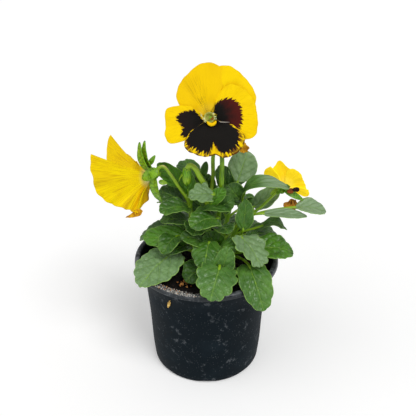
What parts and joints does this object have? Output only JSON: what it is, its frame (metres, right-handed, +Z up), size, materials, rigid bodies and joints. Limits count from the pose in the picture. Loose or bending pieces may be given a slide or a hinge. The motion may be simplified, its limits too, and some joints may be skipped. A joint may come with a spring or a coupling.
{
  "type": "potted pansy planter",
  "caption": "Flowering pansy with yellow, dark-blotched blooms and crenate leaves on rooted stems in a round black nursery pot filled with dark soil.",
  "frame": {"origin": "middle of the flat underside of the pot", "axes": "+Z up along the pot's axis, +X to the plant's right as seen from the front, -Y towards the front that the main bloom faces"},
  "size_m": [0.1793, 0.1322, 0.2636],
  "materials": {
    "pot": "matte black moulded plastic with dust",
    "soil": "dark damp potting soil",
    "leaf": "soft green leaves and stems",
    "petal": "velvety yellow petals with dark blotches",
    "withered": "dry brown petals"
  },
  "bodies": {
    "root": {"pot": "pot", "soil": "soil", "stem_left": "leaf", "stem_front": "leaf", "stem_centre": "leaf", "stem_front_right": "leaf", "stem_right": "leaf", "stem_back_right": "leaf", "stem_back_left": "leaf", "stalk_main": "leaf", "bloom_main": "petal", "bloom_left": "petal", "bloom_right": "petal", "spent_petals": "withered", "withered_petal": "withered"}
  },
  "joints": []
}
